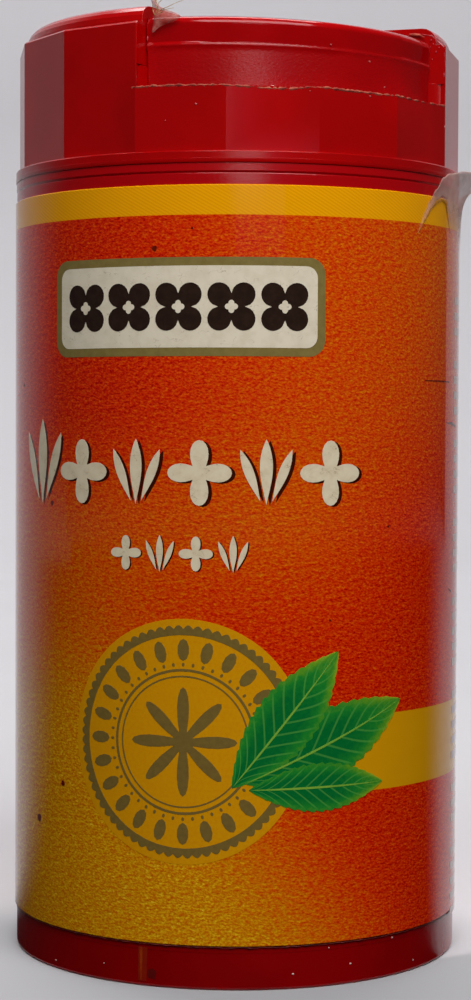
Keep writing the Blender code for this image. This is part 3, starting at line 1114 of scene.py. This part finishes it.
def build_label_marks():
    """Brown spots and fine scratches on the wrap."""
    stain = ink("stain_brown", (92, 16, 6), (120, 30, 8), 3)
    spots = []
    for arc, height, size in (
        (-7.7, 70.35, 0.28), (-20.5, 46, 0.26), (-27.2, 57.6, 0.2), (-18.6, 18.6, 0.3),
        (-22.9, 14.6, 0.42), (16.2, 44, 0.14), (9.5, 35.2, 0.12), (-4, 72.2, 0.12),
    ):
        spots.append(blossom((arc, height), 0.8 * size, size, 3, turn=40 * arc, steps=5))
    lay_print("label_spots", spots, stain, FIRST_LAYER)
    scratches = [
        [(21.7, 58.14), (27.6, 58.1), (27.6, 58.17), (24.5, 58.24), (21.7, 58.2)],
        [(26.6, 54.05), (28.4, 53.85), (30.6, 53.6), (30.6, 53.78), (28.6, 54.12)],
        [(27.9, 37.2), (28.8, 36.9), (28.8, 37.05), (27.9, 37.34)],
    ]
    lay_print("label_scratches", scratches, stain, SECOND_LAYER)


def build_foot_patches():
    """Thin closed patches of orange and of dark stain on the base."""
    for name, radius, outline, look in (
        (
            "orange_foot_patch", 22.84, ((-23.1, 0.5), (-20.9, 0.5), (-20.6, 3.8), (-23, 3.8)),
            ("orange_patch", (170, 50, 12), 0.4, (150, 36, 8), 0.8, 0.3),
        ),
        (
            "foot_streak", 22.86, ((-22.5, 0.6), (-22.1, 0.6), (-21.9, 3.8), (-22.6, 3.8)),
            ("orange_streak", (206, 84, 12), 0.4, (176, 56, 10), 2, 0.35),
        ),
        (
            "foot_stain", 22.83,
            ((-20.4, 0.9), (-18.6, 0.8), (-18.3, 1.5), (-19.4, 1.8), (-20.5, 1.6)),
            ("foot_stain_dark", (60, 10, 4), 0.6, (44, 8, 4), 1, 0.35),
        ),
    ):
        shape = skin([
            [at(phi, depth, height) for phi, height in outline]
            for depth in (BASE_RADIUS - 0.06, radius)
        ])
        add_piece(name, shape, plain_surface(*look))


def build_specks(cap, jar):
    """Single grains on the shown side, and fine dust all over the faces that don't look down."""
    dust = plain_surface("dust_pale", (200, 150, 140), 0.6, (226, 200, 190), 5)
    blush = plain_surface("grain_pink", (204, 112, 108), 0.5, (176, 66, 66), 5)
    grains("cap_specks", (
        (-9.5, 22.44, 83.87, 0.12), (37.7, 21, 88.76, 0.13), (25.4, 21.1, 89.95, 0.1),
        (43.2, 21, 86.5, 0.09), (34.9, 22.43, 85.16, 0.12), (18.1, 22.66, 85.2, 0.07),
        (-17, 22.5, 82.4, 0.06),
    ), blush)
    grains("base_specks", (
        (14.9, 22.8, 1.49, 0.13), (30.1, 22.8, 1.96, 0.13), (51.5, 22.8, 1, 0.12),
        (24.1, 22.82, 3.75, 0.1), (43.1, 22.82, 3.8, 0.13), (-49.8, 22.81, 0.85, 0.14),
        (-32.8, 22.8, 1.69, 0.08),
    ), dust)
    flow = scattered_specks(dust)
    for name, host, density, seed, slot in (
        ("cap_dust", cap, 4500.0, 5, "cap_plastic"),
        ("jar_dust", jar, 3500.0, 8, "jar_plastic"),
    ):
        faces = bmesh.new()
        faces.from_mesh(host.data)
        below = [face for face in faces.faces if face.normal.z < -0.3]
        bmesh.ops.delete(faces, geom=below, context="FACES")
        dusty = bpy.data.meshes.new(name + "_host")
        faces.to_mesh(dusty)
        faces.free()
        shape = bmesh.new()
        shape.from_mesh(flow.bake(
            dusty, Density=density, Seed=seed, Smallest=0.035 * MM, Largest=0.22 * MM
        ))
        add_piece(name, shape, dust)


# Studio


def studio_surface(name, shade):
    """Matt paper or cloth."""
    paint = Finish(name, 0.9)
    uneven = paint.noise(paint.solid_place(), 0.02)
    paint.set("Base Color", paint.mix(uneven, shade, dimmed(shade, 0.94)))
    paint.set("Specular IOR Level", 0.1)
    return paint


def build_floor():
    """Round pale floor, with a curved wall behind and to the left that fades at its ends."""
    paint = studio_surface("studio_paper", colour(206, 204, 207))
    angle, height = paint.round_jar(paint.solid_place())
    wall_end = abs(angle * degrees(1)).step(93, 128)
    paint.set("Alpha", 1 - (1 - wall_end) * height.step(0, 40))
    reach, cove, top, open_reach = 0.85, 0.2, 1.1, 2.2
    profile = [(0, 0), (reach - cove, 0)]
    for angle in (radians(90 * k / 8) for k in range(1, 9)):
        profile.append((reach - cove + cove * sin(angle), cove - cove * cos(angle)))
    profile.append((reach, top))
    shape = bmesh.new()
    steps = 96
    columns = []
    for k in range(steps):
        behind = 360 * k / steps - 180
        used = profile if -89 <= behind <= 45 else profile[:2] + [(open_reach, 0)]
        x, y = sin(radians(behind)), cos(radians(behind))
        columns.append([shape.verts.new((r * x, r * y, z)) for r, z in used])
    for here, following in zip(columns, columns[1:] + columns[:1]):
        for j in range(min(len(here), len(following)) - 1):
            shape.faces.new((here[j], following[j], following[j + 1], here[j + 1]))
    bmesh.ops.remove_doubles(shape, verts=shape.verts, dist=0.0001)
    bmesh.ops.recalc_face_normals(shape, faces=shape.faces)
    new_object("studio", shape, paint.material, 180)


def build_flag():
    """Dark sheet round the jar's front and right, which only reflections see: it stands in for the
    shade round the jar.

    It fades at both ends: round the jar's axis at the left, round a nearer point at the right.
    """
    paint = studio_surface("dark_shade_stand_in", colour(12, 12, 14))
    place = paint.solid_place()
    left_angle = paint.round_jar(place)[0] * degrees(1)
    right_angle = paint.round_jar(place, 20, -10)[0] * degrees(1)
    paint.set("Alpha", left_angle.step(-128, -96) * right_angle.step(136, 112))
    steps, first_phi, sweep, height = 48, -130, 266, 0.3
    shape = skin([
        [at(first_phi + sweep * k / steps, radius, height) for radius in (22, 800)]
        for k in range(steps + 1)
    ], "open", False)
    item = new_object("dark_flag", shape, paint.material, 180)
    filled_in(item, visible_camera=False, visible_shadow=False)


def soft_light(name, place, aim, size, power, tint=(1, 1, 1)):
    light = filled_in(
        bpy.data.lights.new(name, "AREA"), shape="RECTANGLE", size=size[0], size_y=size[1],
        energy=power, color=tint,
    )
    turn = (Vector(aim) - Vector(place)).to_track_quat("-Z", "Y").to_euler()
    filled_in(in_scene(name, light), location=place, rotation_euler=turn, visible_camera=False)


def build_light():
    """Softbox overhead, two small lamps in front, one for the backdrop, and a dim room."""
    soft_light("overhead_softbox", (0.047, -0.22, 0.32), (0, 0, 0.07), (0.3, 0.24), 1.5)
    soft_light(
        "front_card", (0.2, -0.95, 0.24), (0, 0, 0.08), (0.42, 0.2), 0.065, (0.5, 0.4, 1)
    )
    soft_light("front_lamp", (0.08, -0.9, 0.235), (0, 0, 0.08), (0.26, 0.1), 0.4)
    soft_light("backdrop_light", (-0.1, 0.35, 1), (-0.1, 0.75, 0.1), (0.8, 0.3), 8.8)
    world = bpy.data.worlds.new("dim_room")
    world.use_nodes = True
    room = NodeTree(world.node_tree)
    nodes = world.node_tree.nodes
    lit = nodes["Background"]
    lit.inputs["Color"].default_value = (0.96, 0.95, 1, 1)
    lit.inputs["Strength"].default_value = 0.06
    room.put(nodes["World Output"].inputs[0], room.made("ShaderNodeMixShader", {
        0: room.made("ShaderNodeLightPath", {}, "Is Camera Ray"),
        1: Value(room, lit.outputs[0]),
        2: room.made("ShaderNodeBackground", {"Color": colour(200, 200, 205)}),
    }))
    bpy.context.scene.world = world
    bpy.context.scene.view_settings.view_transform = "Standard"


def build_camera():
    """Camera that stands where the photograph's fitted camera stood."""
    place = (0.003052, -0.230, 0.05403)
    yaw, pitch, roll = -0.0137, -0.0355, 0.0045
    camera = filled_in(
        bpy.data.cameras.new("photo_camera"), sensor_width=36, lens=79.23, clip_start=0.01
    )
    item = in_scene("photo_camera", camera)
    turn = Matrix.Rotation(-yaw, 4, "Z") @ Matrix.Rotation(pi / 2 + pitch, 4, "X")
    item.matrix_world = Matrix.Translation(place) @ turn @ Matrix.Rotation(roll, 4, "Z")
    bpy.context.scene.camera = item


cap_piece, jar_piece = build_plastic()
label_sleeve(grain_print())
build_plate()
build_ornament()
build_roundel()
build_leaves()
build_side_print()
build_peeled_film()
build_torn_film()
build_wear()
build_dirt_lines()
build_label_marks()
build_foot_patches()
build_specks(cap_piece, jar_piece)
build_floor()
build_flag()
build_light()
build_camera()
